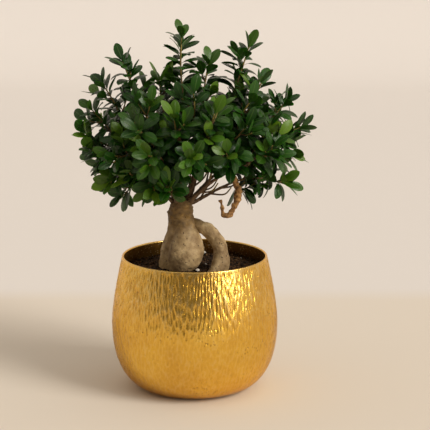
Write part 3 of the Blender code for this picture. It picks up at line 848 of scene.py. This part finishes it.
def leafShells(base, forward, normal, length, width, bend, fold):
    # blades on a grid of parts along and across: the midrib is an arc that bends down by bend radians,
    # the halves rise by fold, and the upper and lower skins share one outline
    forward = unit(forward)
    side = unit(np.cross(normal, forward))
    normal = np.cross(forward, side)
    s = leafRows[None, :, None]
    v = leafColumns[None, None, :]
    count = len(base)
    bend = np.where(np.abs(bend) < 0.05, 0.05, bend)[:, None, None]
    ahead = length[:, None, None] * np.sin(bend * s) / bend + 0 * v
    drop = -length[:, None, None] * (1 - np.cos(bend * s)) / bend + 0 * v
    across = width[:, None, None] * leafHalfWidth(s) * v
    lift = np.abs(across) * fold[:, None, None] - 0.25 * across ** 2 / width[:, None, None]
    tilt = bend * s + 0 * v
    half = leafThickness / 2 * (1 - v ** 2) * np.sqrt(np.clip(s * (1 - s) * 4, 0, 1))
    skins = []
    for sign in (1, -1):
        rise = lift + sign * half
        x = ahead + rise * np.sin(tilt)
        z = drop + rise * np.cos(tilt)
        skin = (base[:, None, None] + forward[:, None, None] * x[..., None]
                + side[:, None, None] * across[..., None] + normal[:, None, None] * z[..., None])
        skins.append(skin)
    rows, columns = len(leafRows), len(leafColumns)
    upper = skins[0].reshape(count, -1, 3)
    lower = skins[1][:, 1:-1, 1:-1].reshape(count, -1, 3)
    points = np.concatenate([upper, lower], axis=1)
    upperIndex = np.arange(rows * columns).reshape(rows, columns)
    lowerIndex = upperIndex.copy()
    within = np.arange((rows - 2) * (columns - 2)).reshape(rows - 2, columns - 2)
    lowerIndex[1:-1, 1:-1] = rows * columns + within
    quads = []
    for index, flip in ((upperIndex, False), (lowerIndex, True)):
        corners = index[:-1, :-1], index[1:, :-1], index[1:, 1:], index[:-1, 1:]
        cell = np.stack(corners, axis=-1).reshape(-1, 4)
        quads.append(cell if flip else cell[:, ::-1])
    quads = np.concatenate(quads)
    faces = (quads[None] + points.shape[1] * np.arange(count)[:, None, None]).reshape(-1, 4)
    plan = np.stack(np.broadcast_arrays((v[0] + 1) / 2, s[0]), axis=-1)
    plan = np.concatenate([plan.reshape(-1, 2), plan[1:-1, 1:-1].reshape(-1, 2)])
    under = np.tile(np.repeat([0.0, 1.0], len(quads) // 2), count)
    return points.reshape(-1, 3), faces, np.tile(plan, (count, 1)), under


def shootEnds(node):
    # foot and tip of a shoot: its CAD points nearest to and farthest from the heart of the crown
    points = nodePoints(node)
    far = np.linalg.norm(points - np.array(shootShape["crownHeart"]), axis=1)
    return points[far.argmin()], points[far.argmax()]


def branchPoints():
    # points along all branches, thinned near the trunk so that shoots grow from the outer part
    return np.vstack([smoothRoute(branchRoute(node), 40)[12:] for node in branchShape["curves"]])


def shootLine(foot, tip, holds, draw):
    # stem from the nearest branch point below the foot, through the foot, to short of the tip
    axis = unit(tip - foot)
    end = tip - axis * shootShape["leafLength"] * shootShape["tipReach"]
    cost = np.linalg.norm(holds - foot, axis=1) + 0.6 * np.maximum((holds - foot) @ axis, 0)
    root = holds[cost.argmin()]
    middle = (foot + end) / 2 + draw.normal(0, shootShape["stemWaver"], 3)
    return smoothRoute([root, foot, middle, end], 60)


def shootLeaves(line, draw):
    # leaves set in a spiral: each a golden turn on from the last, opening wider away from the tip
    shape = shootShape
    length = lengthAlong(line)
    below = np.arange(0.0, length[-1] - shape["bareFoot"], shape["internode"])
    below = below + draw.uniform(-shape["internodeSpread"], shape["internodeSpread"], len(below))
    below[0] = 0.0
    place = length[-1] - below
    base = np.stack([np.interp(place, length, line[:, k]) for k in range(3)], axis=-1)
    along, side, other = routeFrames(line)
    pick = np.clip(np.searchsorted(length, place), 0, len(line) - 1)
    axis, side, other = along[pick], side[pick], other[pick]
    count = len(below)
    turn = np.radians(shape["goldenTurn"]) * np.arange(count) + draw.uniform(0, math.tau)
    turn = turn + draw.uniform(-shape["turnSpread"], shape["turnSpread"], count)
    radial = side * np.cos(turn)[:, None] + other * np.sin(turn)[:, None]
    opening = smoothStep(below, -0.004, shape["openingLength"])
    angle = between(shape["tipAngle"], shape["sideAngle"], opening)
    angle = np.radians(angle + draw.normal(0, shape["angleSpread"], count))
    forward = axis * np.cos(angle)[:, None] + radial * np.sin(angle)[:, None]
    forward[:, 2] += shape["leafRise"]
    level = 1 - np.abs(axis[:, 2:3])
    spread = base * np.array([1, 1, 0]) / shape["crownRadius"]
    frontShare = smoothStep(-base[:, 1:2], -0.05, 0.01)
    faced = 0.55 * spread + frontShare * np.array(shape["lightSide"]) + (0.55 + 0.5 * level) * up
    inward = axis * np.sin(angle)[:, None] - radial * np.cos(angle)[:, None]
    normal = 0.85 * inward + 0.8 * faced + draw.normal(0, shape["faceSpread"], (count, 3))
    normal = normal - unit(forward) * (normal * unit(forward)).sum(axis=1, keepdims=True)
    youth = np.clip(1 - below / shape["youngLength"], 0, 1) * np.clip(draw.uniform(-0.6, 1.2), 0, 1)
    size = (0.96 + 0.04 * smoothStep(below, 0.0, 0.012)) * draw.uniform(*shape["sizes"], count)
    return {
        "base": base + radial * 0.0008, "forward": forward, "normal": normal,
        "length": shape["leafLength"] * size,
        "width": shape["leafWidth"] * size * draw.uniform(*shape["widths"], count),
        "bend": draw.uniform(*shape["bends"], count) * (0.40 + 0.60 * opening),
        "fold": draw.uniform(*shape["folds"], count), "youth": youth, "shade": draw.uniform(0, 1, count),
    }


def forkLines(line, kind, draw):
    # side stems: each leaves the line at a share of its length, tilted outward in a drawn direction;
    # a sprig runs on nearly straight, and a twig turns upward halfway
    along, side, other = routeFrames(line)
    tilt = math.radians(shootShape[kind + "Angle"])
    lines = []
    for place in shootShape[kind + "Places"]:
        pick = int(place * (len(line) - 1))
        turn = draw.uniform(0, math.tau)
        radial = side[pick] * math.cos(turn) + other[pick] * math.sin(turn)
        heading = along[pick] * math.cos(tilt) + radial * math.sin(tilt)
        reach = shootShape[kind + "Length"] * draw.uniform(0.7, 1.0)
        middle = line[pick] + heading * reach / 2
        end = middle + (heading + up) / 2 * reach / 2
        if kind == "sprig":
            end = line[pick] + heading * reach + shootShape["sprigRise"] * up
        lines.append(smoothRoute([line[pick], middle, end], 24))
    return lines


def putLeaves(name, leaves, material):
    # one mesh for a dictionary of leaf arrays, with each leaf's youth and shade on its faces
    youth, shade = leaves["youth"], leaves["shade"]
    shapes = {key: leaves[key] for key in leaves if key not in ("youth", "shade")}
    points, faces, plan, under = leafShells(**shapes)
    perLeaf = len(faces) // len(youth)
    numbers = {"leafYouth": np.repeat(youth, perLeaf), "leafShade": np.repeat(shade, perLeaf),
               "leafUnder": under}
    piece = putMesh(name, points, [faces], material, uv=("leafPlan", plan), faceNumbers=numbers)
    piece.data.set_sharp_from_angle(angle=math.radians(75))
    return piece


def stemTube(line, thick, start):
    # tapering stem, older towards its foot
    around = shootShape["stemAround"]
    grid, _ring = tubeGrid(line, np.linspace(thick, shootShape["stemThin"], len(line)), around)
    age = np.append(np.repeat(np.linspace(0.8, 0.0, len(line)) ** 1.3, around), (0.8, 0.0))
    return (*closedTube(grid, start), age)


def buildShoots():
    # one piece of leaves for each CAD shoot, one for all side sprigs, and one for all stems
    draw = np.random.default_rng(shootShape["seed"])
    holds = branchPoints()
    leafSkin = leafMaterial()
    stems, sprigs = [], []
    total = 0
    for node in sorted(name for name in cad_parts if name.startswith("shoot_")):
        foot, tip = shootEnds(node)
        line = shootLine(foot, tip, holds, draw)
        leaves = shootLeaves(line, draw)
        settle(putLeaves("leaves_" + node[6:], leaves, leafSkin), "leaf_green", node)
        total += len(leaves["youth"])
        stems.append((line, shootShape["stemThick"]))
        for sprig in forkLines(line, "sprig", draw):
            sprigs.append(shootLeaves(sprig, draw))
            stems.append((sprig, shootShape["sprigThick"]))
    for node in branchShape["curves"]:
        for twig in forkLines(smoothRoute(branchRoute(node), 60), "twig", draw):
            stems.append((twig, shootShape["twigThick"]))
    joined = {key: np.concatenate([sprig[key] for sprig in sprigs]) for key in sprigs[0]}
    settle(putLeaves("leaves_side_sprigs", joined, leafSkin), "leaf_green")
    parts, start = [], 0
    for line, thick in stems:
        parts.append(stemTube(line, thick, start))
        start += len(parts[-1][0])
    tubes, quads, fans, age = (list(part) for part in zip(*parts))
    settle(putMesh("shoot_stems", np.vstack(tubes), [np.vstack(quads), np.vstack(fans)], twigBark(),
                   pointNumbers={"stemAge": np.concatenate(age)}), "twig_bark")
    print("leaves:", total, "and", len(joined["youth"]), "on side sprigs")


def leafMaterial():
    # glossy green with a paler midrib and side veins, yellower when young, paler and duller underneath
    material, tree, shader, place = startMaterial("ficus leaf")
    plan = addNode(tree, "UVMap", uv_map="leafPlan").outputs["UV"]
    youth = attributeOf(tree, "leafYouth")
    shade = attributeOf(tree, "leafShade")
    under = attributeOf(tree, "leafUnder")
    split = addNode(tree, "SeparateXYZ", {0: plan})
    offMiddle = mathOf(tree, "ABSOLUTE", minus(tree, split.outputs["X"], 0.5))
    rib = ramp(tree, offMiddle, [(0.012, 1.0), (0.055, 0.0)])
    slant = minus(tree, times(tree, split.outputs["Y"], 11.0), times(tree, offMiddle, 9.0))
    veins = ramp(tree, mathOf(tree, "PINGPONG", slant, 0.5), [(0.0, 1.0), (0.12, 0.0)])
    mature = ramp(tree, shade, [(0.0, (0.003, 0.019, 0.001)), (0.5, (0.006, 0.036, 0.002)),
                                (1.0, (0.016, 0.066, 0.003))])
    fresh = ramp(tree, shade, [(0.0, (0.040, 0.125, 0.005)), (1.0, (0.16, 0.270, 0.014))])
    green = blendColour(tree, youth, mature, fresh)
    for share, much, tint in ((noiseOf(tree, place, 130, 3), 0.25, (0.020, 0.080, 0.005)),
                              (veins, 0.10, (0.07, 0.16, 0.03)), (rib, 0.35, (0.11, 0.20, 0.035)),
                              (under, 0.35, (0.034, 0.096, 0.008))):
        green = blendColour(tree, times(tree, share, much), green, tint)
    rough = plus(tree, times(tree, noiseOf(tree, place, 90, 2), 0.16), 0.22)
    ridge = plus(tree, times(tree, rib, -1.0), times(tree, veins, -0.25))
    line = bumpOf(tree, ridge, 0.0004, 0.6)
    plug(tree, shader, {
        "Base Color": green,
        "Roughness": plus(tree, rough, times(tree, under, 0.22)),
        "Normal": bumpOf(tree, noiseOf(tree, place, 420, 2), 0.0002, 0.5, line),
        "Specular IOR Level": 0.30, "Subsurface Weight": 0.08,
        "Subsurface Radius": (0.4, 1.0, 0.2), "Subsurface Scale": 0.0015,
    })
    return material


studio = {
    "floor": (0.68, 0.615, 0.534), "wall": (0.70, 0.66, 0.626), "wallStart": 0.47,
    "cameraPlace": (0.030, -2.191, 0.728), "cameraPitch": 12.1, "lens": 128.2,
    # power of each sun, then its side, its height and its size in degrees
    "suns": {"window": (2.0, 57.0, 35.0, 26.0), "low window": (0.75, 50.0, 15.0, 15.0)},
    "sunTint": (1.0, 0.95, 0.88), "airTint": (1.0, 0.90, 0.78),
    "air": 0.56, "frontAir": 0.18, "highAir": 0.75,
}


def buildStudio():
    # floor that runs back and curves up into a backdrop far behind
    turn = np.linspace(0, math.pi / 2, 16)
    flat = [(y, 0.0) for y in np.linspace(-1, 3.4, 6)]
    bend = np.stack([3.4 + 0.9 * np.sin(turn), 0.9 * (1 - np.cos(turn))], axis=-1)[1:]
    line = np.vstack([[(-5.0, 0.0)], flat, bend, [(4.3, 4.0)]])
    wide = np.array([-6.0, 6.0])
    grid = np.stack(np.broadcast_arrays(wide[None], line[:, :1], line[:, 1:]), axis=-1)
    row = np.arange(len(line) - 1)[:, None] * 2
    floor = putMesh("studio_floor", grid.reshape(-1, 3), [row + np.array([0, 1, 3, 2])], floorPaint())


def floorPaint():
    # the floor's colour, changing to the wall's over a short depth
    material, tree, shader, place = startMaterial("studio paint")
    depth = addNode(tree, "SeparateXYZ", {0: place}).outputs["Y"]
    share = times(tree, minus(tree, depth, studio["wallStart"]), 12.0)
    plug(tree, shader, {
        "Base Color": ramp(tree, share, [(0.0, studio["floor"]), (1.0, studio["wall"])]),
        "Roughness": 0.9, "Specular IOR Level": 0.1,
    })
    return material


def buildLights():
    # two soft suns for the window and its low part, and air that is dim towards the front and pale elsewhere
    for name, (power, side, height, size) in studio["suns"].items():
        lamp = bpy.data.lights.new(name, "SUN")
        lamp.energy = power
        lamp.angle = math.radians(size)
        lamp.color = studio["sunTint"]
        light = bpy.data.objects.new(name, lamp)
        bpy.context.scene.collection.objects.link(light)
        light.rotation_euler = (math.radians(90 - height), 0, math.radians(side))
    world = bpy.data.worlds.new("studio air")
    world.use_nodes = True
    bpy.context.scene.world = world
    tree = world.node_tree
    air = addNode(tree, "SeparateXYZ", {0: addNode(tree, "TexCoord").outputs["Generated"]})
    tint = np.array(studio["airTint"])
    ahead = times(tree, air.outputs["Y"], -1.0)
    front = ramp(tree, ahead, [(0.35, tuple(tint * studio["air"])), (0.85, tuple(tint * studio["frontAir"]))])
    high = ramp(tree, air.outputs["Z"], [(0.45, 0.0), (0.80, 1.0)])
    glow = blendColour(tree, high, front, tuple(tint * studio["highAir"]))
    right = ramp(tree, air.outputs["X"], [(0.25, 0.0), (0.9, 0.3)])
    glow = blendColour(tree, right, glow, tuple(tint))
    tree.links.new(glow, tree.nodes["Background"].inputs["Color"])


def buildCamera():
    # a long lens well in front, above the plant and pitched down
    data = bpy.data.cameras.new("camera")
    data.lens = studio["lens"]
    data.sensor_width = 36
    camera = bpy.data.objects.new("camera", data)
    bpy.context.scene.collection.objects.link(camera)
    camera.location = studio["cameraPlace"]
    camera.rotation_euler = (math.radians(90 - studio["cameraPitch"]), 0, 0)
    bpy.context.scene.camera = camera


buildCamera()
buildPot()
buildSoil()
buildCrumbs()
buildPerlite()
buildTrunk()
buildLoopRoot()
buildHangingRoot()
buildBranches()
buildShoots()
buildStudio()
buildLights()
bpy.context.scene.view_settings.view_transform = "Standard"
